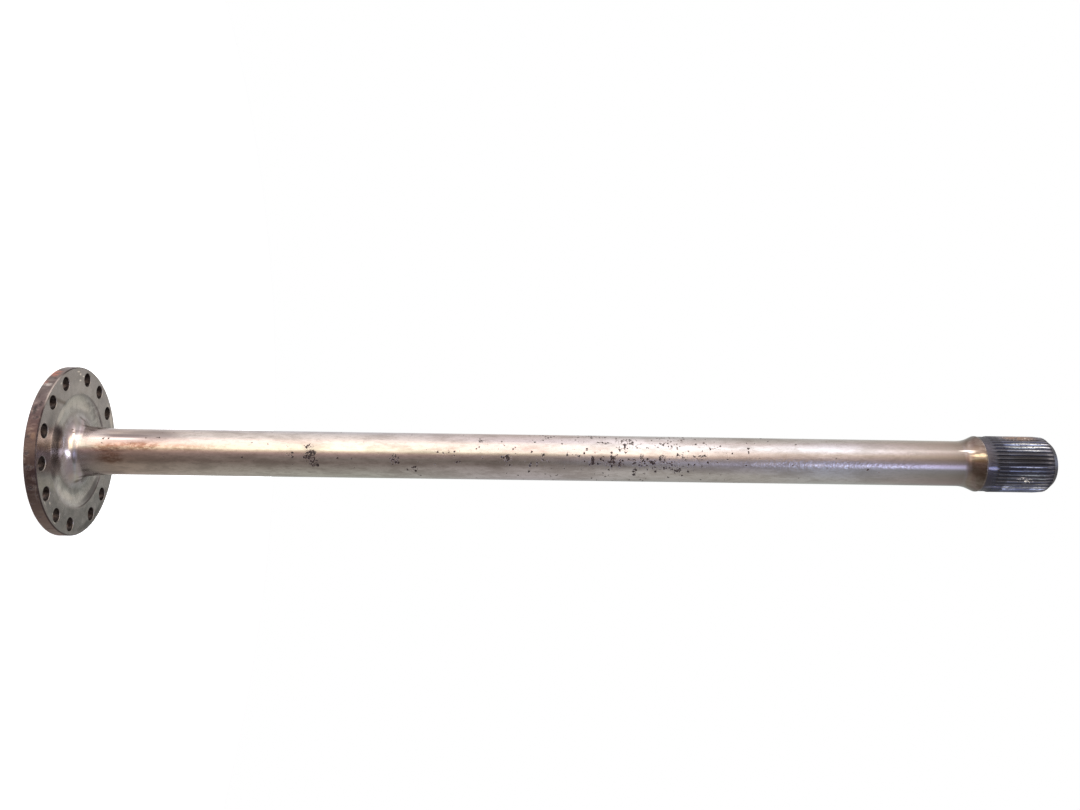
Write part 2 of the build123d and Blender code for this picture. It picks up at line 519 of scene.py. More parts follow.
# Ground and turned medium-carbon steel. The eye gets a satin warm grey with soft long reflections, clouded
# by old oil, straw and brown where heat tinted it, and broken by dark rust pits. Painted highlights and
# painted shade lie over it in places.
turnedSteel = {
    # height along the shaft in millimetres, colour of the metal there
    "tints": [
        (10, "#A79C9C"), (34, "#B5A7A4"), (60, "#C3AFA3"), (150, "#CBBDB4"), (260, "#CFC4BC"),
        (560, "#CCC3BE"), (860, "#C3B9B5"), (940, "#B3A39C"), (1000, "#A18F87"), (1018, "#8F7E75"),
        (1030, "#76655A"), (1042, "#5E5048"),
    ],
    # radius on the flange face in millimetres, colour of the metal there, with painted shade darkening the
    # seat step at 63.6 and 64.4
    "faceTints": [
        (34, "#B0A5A2"), (40, "#B6AFAD"), (44, "#A19994"), (50, "#C6BEB7"), (58, "#C6BEB7"),
        (62, "#B5AEAA"), (63.6, "#A59C98"), (64.4, "#938A86"), (65.2, "#A99F9A"), (80, "#A39995"),
        (95, "#9E9490"),
    ],
    # patches on the shaft: height, place round it, half length and half width in millimetres, strength
    "copper": "#7E5C48",
    "copperPatches": [
        (56, 4, 23, 6.5, 0.85), (60, -7, 17, 9, 0.8), (90, 7, 30, 7, 0.8), (145, 6, 42, 5, 0.4),
    ],
    # darker patches beside the flange, mostly along the upper edge of the bright band
    "darkerBesideFlange": "#7A6A66",
    "darkerBesideFlangePatches": [
        (98, 22, 42, 13, 0.65), (62, 30, 22, 8, 0.35), (76, 19.6, 44, 3.8, 0.88), (22, 23, 9, 4.5, 0.6),
        (36, 4, 10, 3.2, 0.45), (64, 3, 22, 5, 0.4), (56, -30, 20, 6, 0.6), (86, 12, 26, 2.2, 0.35),
    ],
    "oil": "#94887F",
    "faceOil": "#7B7370",
    # on the flange face: angle in degrees from the camera's side, radius, half width in degrees, half
    # depth in millimetres, strength
    # painted shade: the dark reflection of the shaft in the dish, the shaded edges of the dish and of the
    # seat step, and darker places on the seat
    "faceShade": "#3C3534",
    "faceShades": [
        (2, 52, 34, 13, 0.85), (19, 52, 16, 14, 0.98), (14, 73, 24, 10, 0.45), (-27, 60, 12, 7, 0.5),
        (-128, 60, 32, 6, 0.75), (-130, 52, 28, 8, 0.4), (-116, 89, 34, 5, 0.6),
        (-125, 64.3, 40, 1.6, 0.85), (-84, 68, 14, 7, 0.3), (-98, 74, 34, 9, 0.25), (144, 62.9, 10, 1.0, 0.8),
        (-60, 80, 44, 12, 0.25), (-88, 83, 16, 8, 0.3), (60, 80, 8, 10, 0.15),
    ],
    # painted highlights: sheen on the dish and the seat, with small bright flecks
    "faceShine": "#EDDDD0",
    "faceShines": [
        (42, 59, 16, 6, 0.6), (78, 58, 34, 8, 0.5), (98, 53, 26, 7, 0.45), (-72, 53, 18, 5, 0.4),
        (90, 73, 30, 8, 0.1), (-55, 57, 16, 5, 0.2), (86, 87, 1.6, 1.5, 0.9), (91, 85, 1.8, 1.2, 0.8),
        (152, 88, 14, 5, 0.5), (56, 88, 1.5, 1.2, 0.6), (-38, 90, 2, 1.0, 0.6), (-52, 86, 1.2, 1.2, 0.6),
        (86, 80, 2.2, 1.2, 0.9), (83, 90, 2.5, 1.0, 0.8), (-43, 82, 1.6, 1.4, 0.8), (-58, 91, 2.5, 1.0, 0.7),
    ],
    "pit": "#241615",
    "pitEdge": "#5E3E36",
    "shaftRoughness": (0.10, 0.19),
    "neckRoughness": 0.17,
    "faceRoughness": (0.30, 0.20),
    "pitRoughness": 0.75,
    "filmStrength": 0.5,
    "mottleStrength": 0.34,
    "smearStrength": 0.55,
    "haloStrength": 0.6,
    "blotchHaloStrength": 0.55,
    "largestPit": 0.52,  # half width of the largest pits as a share of their cell
    # height in millimetres, share of the cells that hold a pit
    "pitting": [
        (0, 0.0), (30, 0.01), (240, 0.02), (340, 0.03), (420, 0.04), (450, 0.09), (530, 0.14),
        (570, 0.22), (600, 0.34), (690, 0.34), (720, 0.22), (800, 0.07), (900, 0.02), (1000, 0.0),
    ],
    # patches on the shaft, as above. Of the pit patches, the strength is the share of pitted cells.
    "pitPatches": [
        (279, 9, 9, 4, 0.75), (281, 1, 8, 8, 0.9), (284, -9, 8, 9, 0.85), (276, -3, 5, 6, 0.8),
        (257, -1, 9, 3.5, 0.6),
        (373, -5, 8, 7, 0.72), (394, -16, 7, 6, 0.62), (401, -26, 3, 3, 0.6), (472, 20, 8, 3, 0.68),
        (500, -1, 9, 6, 0.85), (525, -8, 3, 6, 0.7), (530, 19, 3, 2, 0.6), (567, 5, 6, 5, 0.6),
        (595, -3, 4, 8, 0.9), (605, 19, 13, 3, 0.55), (618, -1, 7, 8, 0.9), (626, -6, 4, 5, 0.9),
        (630, 12, 9, 8, 0.5), (642, -3, 6, 6, 0.8), (643, -16, 4, 10, 0.8), (650, 0, 4, 9, 0.8),
        (662, -4, 8, 4, 0.9), (666, -12, 3, 5, 0.75), (674, 0, 6, 7, 0.8), (690, -11, 10, 10, 0.62),
        (712, 19, 6, 2, 0.5), (735, -3, 10, 4, 0.5), (906, -9, 4, 3, 0.6), (110, 17, 5, 2, 0.6),
        (50, 13, 9, 5, 0.2), (66, 6, 12, 5, 0.2), (62, -4, 6, 3, 0.3),
    ],
    "unevenPatches": [(860, -4, 150, 9, 0.9), (700, -3, 60, 6, 0.6)],
    "straw": "#D6C8AC",
    "strawPatches": [
        (1033, 9.6, 10, 2.0, 0.8), (1037.5, 10, 4.5, 2.8, 0.85), (18.5, 13, 3.5, 6, 0.6),
        (17, -38, 5, 14, 0.3),
    ],
    # polished streaks that also paint highlights: on the neck, along the upper edge of the bright band, on
    # the flare, and as broken glints along the shaft just below its middle
    "polishAndHighlight": "#EADCD2",
    "polishAndHighlightPatches": [
        (1023, 15.2, 11, 1.4, 0.9), (1027, 14, 5, 2.2, 0.8), (40, 15, 20, 8, 0.4), (25, 14, 10, 10, 0.6),
        (18.2, -5, 1.8, 4.5, 1.0), (22, 6.5, 3.4, 6, 0.9), (58, 15.2, 44, 1.8, 0.75),
        (790, -3.5, 18, 1.6, 0.35), (848, -4.2, 14, 1.5, 0.6), (880, -4.6, 9, 1.3, 0.5),
        (906, -4.6, 8, 1.3, 0.5), (940, -4.8, 14, 1.3, 0.35),
    ],
    # painted shade: dark notches where the neck meets the dish, a dark spot in the neck's reflection, and a
    # darker band on the flare
    "paintedShade": "#57432F",
    "paintedShadePatches": [
        (15, 60, 2.5, 5, 0.8), (25, 38.5, 6, 3, 0.7), (16.5, -49, 3, 6, 0.8), (24, -39, 6, 3, 0.7),
        (21.4, -8.5, 2.2, 8, 0.7), (1034, 3.5, 9, 3, 0.6), (18, 22, 1.2, 1, 0.9), (16.5, 26, 1, 1, 0.9),
    ],
    "faceMiddle": 60.0,  # radius at which degrees on the flange face are turned into millimetres
    "faceStart": (33, 41),  # radii between which the shaft's finish goes over to the flange face's
    "neckHeights": (110, 50),  # heights between which the roughness goes over to the neck's
    # noise patterns: sizes in millimetres, two across the shaft and one along it, detail, roughness and
    # distortion
    "patterns": {
        "oil cloud": ((13, 13, 42), 6, 0.66, 0),
        "grain": ((2.6, 2.6, 8), 4, 0.7, 0),
        "smear": ((12, 12, 12), 4, 0.6, 1.2),
        "copper blot": ((4, 4, 7), 5, 0.65, 0),
        "band of pits": ((22, 22, 34), 2, 0.5, 0),
        "dent": ((11, 11, 16), 3, 0.55, 0),
        "lump": ((3.2, 3.2, 4.5), 2, 0.5, 0),
    },
    "ringSpacing": 1.6,  # coarser than the real feed marks, so that it shows
    "pitCell": 3.1,
    "pitWander": 5.2,  # how far the noise moves the outlines of the pits
    "wanderPerMetre": 520.0,  # and how many of its waves go to a metre
    "pitRagSize": (4.4, 3.6, 1000),  # along the shaft and round it
    "pittedSide": math.radians(40),  # angle of the side with the most pits
    "ringDepth": 0.03,
    "dentDepth": 0.6,
    "pitDepth": 0.2,
}


def makeTurnedSteel():
    finish = turnedSteel
    material, tree = newMaterial("turnedSteel")
    at = shaftCoordinates(tree)
    cloud, grain, smear, blot, band, dent, lump = noisePatterns(tree, at["place"], finish["patterns"])

    # heat tint along the shaft and machining zones on the flange face
    heightShare = add(tree, "MapRange", None, {0: at["height"], 1: 0.0, 2: shaftEnd * mm})
    tintStops = [(h / shaftEnd, toLinear(c)) for h, c in finish["tints"]]
    tint = add(tree, "ValToRGB", {"stops": tintStops}, {0: heightShare}, out="Color")
    radiusShare = add(tree, "MapRange", None, {0: at["radius"], 1: 0.0, 2: rimRadius * mm})
    faceStops = [(r / rimRadius, toLinear(c)) for r, c in finish["faceTints"]]
    faceTint = add(tree, "ValToRGB", {"stops": faceStops}, {0: radiusShare}, out="Color")
    start, stop = (radius * mm for radius in finish["faceStart"])
    onFace = add(tree, "MapRange", smooth, {0: at["radius"], 1: start, 2: stop})
    colour = add(tree, "Mix", colourMix, {0: onFace, 6: tint, 7: faceTint})

    # cloudy oil film, fine mottling left by handling, and dirt worked into the flange face
    film = add(tree, "MapRange", smooth, {0: cloud, 1: 0.44, 2: 0.66, 3: 0.0, 4: finish["filmStrength"]})
    mottled = {0: grain, 1: 0.45, 2: 0.68, 3: 0.0, 4: finish["mottleStrength"]}
    mottled = add(tree, "MapRange", smooth, mottled)
    offFace = add(tree, "MapRange", None, {0: onFace, 1: 0.0, 2: 1.0, 3: 1.0, 4: 0.25})
    mottled = add(tree, "Math", times, {0: mottled, 1: offFace})
    dirty = {0: smear, 1: 0.40, 2: 0.72, 3: 0.0, 4: finish["smearStrength"]}
    dirty = add(tree, "MapRange", smooth, dirty)
    dirty = add(tree, "Math", times, {0: dirty, 1: onFace})
    colour = layOver(tree, finish, colour, [(film, "oil"), (mottled, "oil"), (dirty, "faceOil")])

    # painted shade and painted highlights on the flange face
    unrolled = add(tree, "Math", times, {0: at["angle"], 1: finish["faceMiddle"] * mm})
    polar = add(tree, "CombineXYZ", None, {0: at["radius"], 1: unrolled})
    for tone in ("faceShade", "faceShine"):
        area = spotMask(tree, polar, byAngle(finish[tone + "s"], finish["faceMiddle"]))
        area = add(tree, "Math", times, {0: area, 1: onFace})
        colour = layOver(tree, finish, colour, [(area, tone)])

    # copper-brown mottling beside the neck, in 4 mm blots
    nearNeck = spotMask(tree, at["wrapped"], finish["copperPatches"])
    blotted = add(tree, "MapRange", smooth, {0: blot, 1: 0.38, 2: 0.56, 3: 0.25, 4: 1.0})
    copper = add(tree, "Math", times, {0: blotted, 1: nearNeck})
    colour = layOver(tree, finish, colour, [(copper, "copper")])

    # darker patches beside the flange, straw, and polished streaks that also paint highlights, these two with
    # ragged borders, and painted shade in the neck's corners
    ragged = add(tree, "MapRange", smooth, {0: grain, 1: 0.34, 2: 0.52, 3: 0.45, 4: 1.0})
    for tone in ("darkerBesideFlange", "straw", "polishAndHighlight", "paintedShade"):
        area = spotMask(tree, at["wrapped"], finish[tone + "Patches"])
        if tone in ("straw", "polishAndHighlight"):
            area = add(tree, "Math", times, {0: area, 1: ragged})
        colour = layOver(tree, finish, colour, [(area, tone)])

    # rust pits: cells of 3 mm, drawn a little coarser than real ones so that they show
    wander = {"Vector": at["wrapped"], "Scale": finish["wanderPerMetre"], "Detail": 3.0}
    wander = add(tree, "TexNoise", None, wander, out="Color")
    offset = add(tree, "VectorMath", minus, {0: wander, 1: (0.5, 0.5, 0.5)})
    offset = add(tree, "VectorMath", {"operation": "SCALE"}, {0: offset, "Scale": finish["pitWander"] * mm})
    shaken = add(tree, "VectorMath", plus, {0: at["wrapped"], 1: offset})
    cells = {"Vector": shaken, "Scale": 1 / (finish["pitCell"] * mm)}
    cells = add(tree, "TexVoronoi", {"voronoi_dimensions": "2D"}, cells, out="Distance")
    luck = add(tree, "SeparateXYZ", None, {0: cells.node.outputs["Color"]}, out="X")
    pittingStops = [(h / shaftEnd, share) for h, share in finish["pitting"]]
    share = add(tree, "ValToRGB", {"stops": pittingStops}, {0: heightShare}, out="Color")
    uneven = add(tree, "MapRange", smooth, {0: band, 1: 0.38, 2: 0.62, 3: 0.1, 4: 1.5})
    share = add(tree, "Math", times, {0: share, 1: uneven})

    # fewer pits on the side that lies lowest in the photograph
    toSide = add(tree, "Math", minus, {0: at["angle"], 1: finish["pittedSide"]})
    facing = add(tree, "Math", {"operation": "COSINE"}, {0: toSide})
    upper = add(tree, "MapRange", smooth, {0: facing, 1: 0.2, 2: 0.6, 3: 0.3, 4: 1.1})
    share = add(tree, "Math", times, {0: share, 1: upper})
    patches = spotMask(tree, at["wrapped"], finish["pitPatches"])
    share = add(tree, "Math", greater, {0: share, 1: patches})
    rarest = add(tree, "Math", minus, {0: 1.0, 1: share})
    size = add(tree, "MapRange", None, {0: luck, 1: rarest, 2: 1.02, 3: 0.0, 4: finish["largestPit"]})
    depth = add(tree, "Math", minus, {0: size, 1: cells})
    pit = add(tree, "MapRange", smooth, {0: depth, 1: 0.0, 2: 0.07})
    halo = add(tree, "MapRange", smooth, {0: depth, 1: -0.12, 2: 0.04, 3: 0.0, 4: finish["haloStrength"]})
    shown = add(tree, "MapRange", None, {0: size, 1: 0.03, 2: 0.08})
    halo = add(tree, "Math", times, {0: halo, 1: shown})
    pit = add(tree, "Math", times, {0: pit, 1: shown})

    # pits that have run together into ragged blotches, 4 mm grain
    rag = {"Vector": scaled(tree, at["wrapped"], finish["pitRagSize"]), "Scale": 1.0, "Detail": 4.0}
    rag = add(tree, "TexNoise", {"noise_dimensions": "2D"}, {**rag, "Roughness": 0.72}, out="Fac")
    limit = add(tree, "MapRange", None, {0: share, 1: 0.0, 2: 1.0, 3: 0.80, 4: 0.42})
    over = add(tree, "Math", minus, {0: rag, 1: limit})
    blotch = add(tree, "MapRange", smooth, {0: over, 1: -0.005, 2: 0.035})
    blotchEdge = {0: over, 1: -0.045, 2: 0.01, 3: 0.0, 4: finish["blotchHaloStrength"]}
    blotchEdge = add(tree, "MapRange", smooth, blotchEdge)
    pit = add(tree, "Math", greater, {0: pit, 1: blotch})
    halo = add(tree, "Math", greater, {0: halo, 1: blotchEdge})
    colour = layOver(tree, finish, colour, [(halo, "pitEdge"), (pit, "pit")])
    metal = add(tree, "Math", minus, {0: 1.0, 1: pit})

    # roughness: ground shaft smoother than the turned face, duller under oil and in pits
    low, high = finish["shaftRoughness"]
    ground = add(tree, "MapRange", None, {0: cloud, 1: 0.3, 2: 0.7, 3: low, 4: high})
    start, stop = (height * mm for height in finish["neckHeights"])
    atNeck = add(tree, "MapRange", smooth, {0: at["height"], 1: start, 2: stop})
    ground = add(tree, "Mix", valueMix, {0: atNeck, 2: ground, 3: finish["neckRoughness"]})
    low, high = finish["faceRoughness"]
    turnedFace = add(tree, "MapRange", None, {0: smear, 1: 0.3, 2: 0.7, 3: low, 4: high})
    rough = add(tree, "Mix", valueMix, {0: onFace, 2: ground, 3: turnedFace})
    rough = add(tree, "Mix", valueMix, {0: halo, 2: rough, 3: finish["pitRoughness"]})

    # relief: turning rings, handling dents, lumps beside the neck and along the uneven patches, pits
    ring = add(tree, "CombineXYZ", None, {0: at["radius"], 1: at["height"]})
    ring = scaled(tree, ring, (finish["ringSpacing"], finish["ringSpacing"], 1))
    ring = add(tree, "TexNoise", None, {"Vector": ring, "Scale": 1.0, "Detail": 2.0}, out="Fac")
    dentShare = add(tree, "MapRange", None, {0: onFace, 1: 0.0, 2: 1.0, 3: 0.15, 4: 0.4})
    dent = add(tree, "Math", times, {0: dent, 1: dentShare})
    rippled = spotMask(tree, at["wrapped"], finish["unevenPatches"])
    rippled = add(tree, "Math", greater, {0: rippled, 1: nearNeck})
    lump = add(tree, "Math", times, {0: lump, 1: rippled})
    dent = add(tree, "Math", plus, {0: dent, 1: lump})
    sunk = add(tree, "Math", times, {0: halo, 1: -1.0})
    depths = [finish[name] for name in ("ringDepth", "dentDepth", "pitDepth")]
    relief = stackedRelief(tree, zip((ring, dent, sunk), (0.5, 0.5, 0.4), depths))
    shader = {"Base Color": colour, "Metallic": metal, "Roughness": rough, **relief}
    add(tree, "OutputMaterial", None, {"Surface": add(tree, "BsdfPrincipled", None, shader)})
    return material


# Forged and rough-turned rim. The eye gets a dull brown-black scale, worn to metal in places, with cracks,
# bright nicks and orange rust.
forgedRim = {
    # angle in degrees from the camera's side, colour of the scale there
    "scales": [
        (-180, "#7A6862"), (-90, "#86746C"), (-50, "#84716A"), (-32, "#6E5D58"), (-12, "#584747"),
        (0, "#7C6C66"), (12, "#5E4E4D"), (22, "#554848"), (34, "#635755"), (45, "#665A56"),
        (62, "#70625C"), (80, "#7C706C"), (180, "#7A6862"),
    ],
    "worn": "#8E7F78",
    "dark": "#2E2423",
    "nick": "#B9ACA4",
    "bronze": "#8A7466",
    "rust": "#B46A54",
    # angle in degrees from the camera's side, height, half width in degrees, half height in millimetres,
    # strength
    "rustPatches": [(63, 5, 7, 6, 0.75), (50, 3, 3, 4, 0.3), (-74, 9, 4, 4, 0.2), (150, 7, 14, 6, 0.6)],
    "nicks": [(48, 6, 2.0, 6, 1.0), (-76, 2, 4, 2.5, 0.8), (-6, 1.5, 3, 2, 0.5), (200, 6, 2, 6, 0.8)],
    "gouges": [
        (-36, 3, 1.0, 4, 0.7), (-62, 7, 1.0, 5, 0.6), (-31, 10, 5, 1.0, 0.7),
        (-16, 2.5, 5, 1.0, 0.7), (38, 4, 3, 1.2, 0.6),
        (-11, 5, 2.0, 8, 1.0), (-24, 6, 2.4, 8, 1.0), (-48, 5, 1.2, 6, 0.7), (-2, 4, 2, 3, 0.7),
        (-18, 11, 4, 3, 0.6),
        (27, 5, 4, 3, 0.8), (31, 9, 3, 2, 0.8), (21, 8, 1.2, 4, 0.6), (8, 3, 2, 3, 0.6), (55, 9, 2, 3, 0.5),
    ],
    "bronzePatches": [(9, 9, 3, 3, 0.6)],
    "rubbedHighlightPatches": [(46, 13, 18, 3, 1.0), (140, 13, 30, 3, 0.6), (-140, 13, 16, 3, 0.6)],
    "cornerHeights": (11.9, 12.7),  # the dark corner beside the hub side starts between these
    "patterns": {"scale": ((7, 7, 14), 6, 0.65, 0), "fine": ((1.8, 1.8, 3), 4, 0.6, 0)},
    "grainDepth": 0.6,
    "fineDepth": 0.2,
    "roughness": (0.55, 0.38),
    "dullRoughness": 0.85,  # of rust and gouges
    "dullMetallic": 0.15,
}


def makeForgedRim():
    finish = forgedRim
    material, tree = newMaterial("forgedRim")
    at = shaftCoordinates(tree)
    areas = {}
    for name in ("bronzePatches", "rubbedHighlightPatches", "rustPatches", "gouges", "nicks"):
        areas[name] = spotMask(tree, at["wrapped"], byAngle(finish[name], rimRadius))

    # scale with 7 mm grain, worn through in patches
    grain, fine = noisePatterns(tree, at["place"], finish["patterns"])
    turn = add(tree, "MapRange", None, {0: at["angle"], 1: -math.pi, 2: math.pi})
    scaleStops = [((a + 180) / 360, toLinear(c)) for a, c in finish["scales"]]
    scale = add(tree, "ValToRGB", {"stops": scaleStops}, {0: turn}, out="Color")
    worn = add(tree, "MapRange", smooth, {0: grain, 1: 0.46, 2: 0.70, 3: 0.0, 4: 0.7})
    colour = layOver(tree, finish, scale, [(worn, "worn"), (areas["bronzePatches"], "bronze")])

    # painted shade on the chamfer beside the hub side, and rubbed bright metal at the top, as seen from the
    # camera, that also paints the edge's highlight there
    start, stop = (height * mm for height in finish["cornerHeights"])
    corner = add(tree, "MapRange", smooth, {0: at["height"], 1: start, 2: stop, 3: 0.0, 4: 0.75})
    rubbedHighlight = add(tree, "Math", times, {0: areas["rubbedHighlightPatches"], 1: corner})

    # rust blooms with ragged borders
    ragged = add(tree, "MapRange", smooth, {0: grain, 1: 0.40, 2: 0.56})
    rust = add(tree, "Math", times, {0: areas["rustPatches"], 1: ragged})
    colour = layOver(tree, finish, colour, [(corner, "dark"), (rubbedHighlight, "nick"), (rust, "rust")])

    # dark gouges, and bright nicks down to clean metal
    jitter = add(tree, "MapRange", smooth, {0: fine, 1: 0.40, 2: 0.56})
    gouge = add(tree, "Math", times, {0: areas["gouges"], 1: jitter})
    specks = add(tree, "MapRange", smooth, {0: fine, 1: 0.66, 2: 0.74, 3: 0.0, 4: 0.7})
    gouge = add(tree, "Math", greater, {0: gouge, 1: specks})
    nick = add(tree, "Math", times, {0: areas["nicks"], 1: jitter})
    colour = layOver(tree, finish, colour, [(gouge, "dark"), (nick, "nick")])
    dull = add(tree, "Math", greater, {0: rust, 1: gouge})
    metal = add(tree, "MapRange", None, {0: dull, 1: 0.0, 2: 1.0, 3: 1.0, 4: finish["dullMetallic"]})
    low, high = finish["roughness"]
    rough = add(tree, "MapRange", None, {0: grain, 1: 0.3, 2: 0.7, 3: low, 4: high})
    rough = add(tree, "Mix", valueMix, {0: dull, 2: rough, 3: finish["dullRoughness"]})
    rise = add(tree, "Math", minus, {0: grain, 1: gouge})
    relief = stackedRelief(tree, [(rise, 0.6, finish["grainDepth"]), (fine, 0.5, finish["fineDepth"])])
    shader = {"Base Color": colour, "Metallic": metal, "Roughness": rough, **relief}
    add(tree, "OutputMaterial", None, {"Surface": add(tree, "BsdfPrincipled", None, shader)})
    return material


# Drilled bores. The eye gets brown oil-stained steel with the drill's feed marks and a brighter mouth.
drilledHole = {
    "bore": "#6C6460",
    "stain": "#38302E",
    "chamfer": "#8A827C",
    "roughness": (0.38, 0.6),
    "mouthBlend": 0.4,
    "patterns": {
        "stain": ((5, 5, 5), 4, 0.5, 0),
        "feed": ((30, 30, 0.9), 2, 0.5, 0),  # coarser than a drill's real feed, so that it shows
    },
    "feedDepth": 0.1,
}


def makeDrilledHole():
    finish = drilledHole
    material, tree = newMaterial("drilledHole")
    at = shaftCoordinates(tree)
    stain, feed = noisePatterns(tree, at["place"], finish["patterns"])
    share = add(tree, "MapRange", smooth, {0: stain, 1: 0.38, 2: 0.66})
    mouth = forging["flangeThickness"] - holes["chamfer"]
    atMouth = {0: at["height"], 1: (mouth - finish["mouthBlend"]) * mm, 2: mouth * mm}
    atMouth = add(tree, "MapRange", smooth, atMouth)
    colour = layOver(tree, finish, toLinear(finish["bore"]), [(share, "stain"), (atMouth, "chamfer")])
    relief = stackedRelief(tree, [(feed, 0.5, finish["feedDepth"])])
    low, high = finish["roughness"]
    rough = add(tree, "MapRange", None, {0: stain, 1: 0.3, 2: 0.7, 3: low, 4: high})
    shader = {"Base Color": colour, "Metallic": 1.0, "Roughness": rough, **relief}
    add(tree, "OutputMaterial", None, {"Surface": add(tree, "BsdfPrincipled", None, shader)})
    return material


# Hobbed and hardened spline. The eye gets blue-black quench scale, worn bright where the side gear sat,
# scraped tips, and brown grease along the top.
hobbedSpline = {
    "root": "#3C3A3F",
    "scale": "#4C4B51",
    "relief": "#4B474D",
    "reliefGlint": "#A0A0BC",
    "worn": "#62616A",
    "shaded": "#3F3B3B",
    "endScale": "#323034",
    "bright": "#E6E4E2",
    "grease": "#7C675C",
    "crumbs": "#E4D4C8",
    "dentMetal": "#E8E4E0",
    "wornFrom": 60.0,  # millimetres from the free end
    "wornTo": 9.0,
    "wornBlend": 2.0,
    "wornWobble": 3.0,
    "grooveEnd": 76.0,  # where the relief groove's brown starts to fade, from the free end
    "scaleLift": 0.75,  # height over the root at which the scale reaches its full colour
    "patterns": {
        "blot": ((6, 6, 9), 5, 0.6, 0),
        "drag": ((1.6, 1.6, 14), 3, 0.5, 0),
        "grit": ((1.3, 1.3, 2.2), 2, 0.5, 0),
    },
    "dragDepth": 0.3,
    "biteDepth": 0.8,
    "roughness": (0.34, 0.46),
    "wornRoughness": 0.16,
    "greaseRoughness": 0.42,
    "greaseMetallic": 0.25,
    "endBlend": (-2, 1),  # millimetres from the start of the end chamfer
    "grooveBlend": (6, -4),  # millimetres from the groove's end
    # millimetres from the free end, arc place, half length and half width, strength
    "greasePatches": [(36, 40, 24, 9, 1.0)],
    # painted highlights: bright lines on the teeth near the top and the bottom of the view
    "toothHighlightPatches": [
        (32, 22, 29, 8, 1.0), (34, -4, 27, 1.3, 0.9), (34, -9.5, 27, 1.3, 0.9), (30, -13, 20, 1.3, 0.6),
        (30, -18, 22, 1.3, 0.8), (18, -24, 13, 1.6, 0.8), (54, -32, 12, 6, 0.8), (36, -31, 14, 3, 0.6),
        (18, -33, 14, 6, 0.9),
    ],
    "shadedPatches": [(34, 6, 27, 9, 0.85), (34, 34, 28, 4, 0.6)],
    "reliefGlints": [(77, -5, 8, 2.4, 0.9), (72, -31, 12, 3, 0.3)],
    "dents": [(38, -20, 9, 4, 1.0), (44, -17, 6, 3, 0.7)],
}


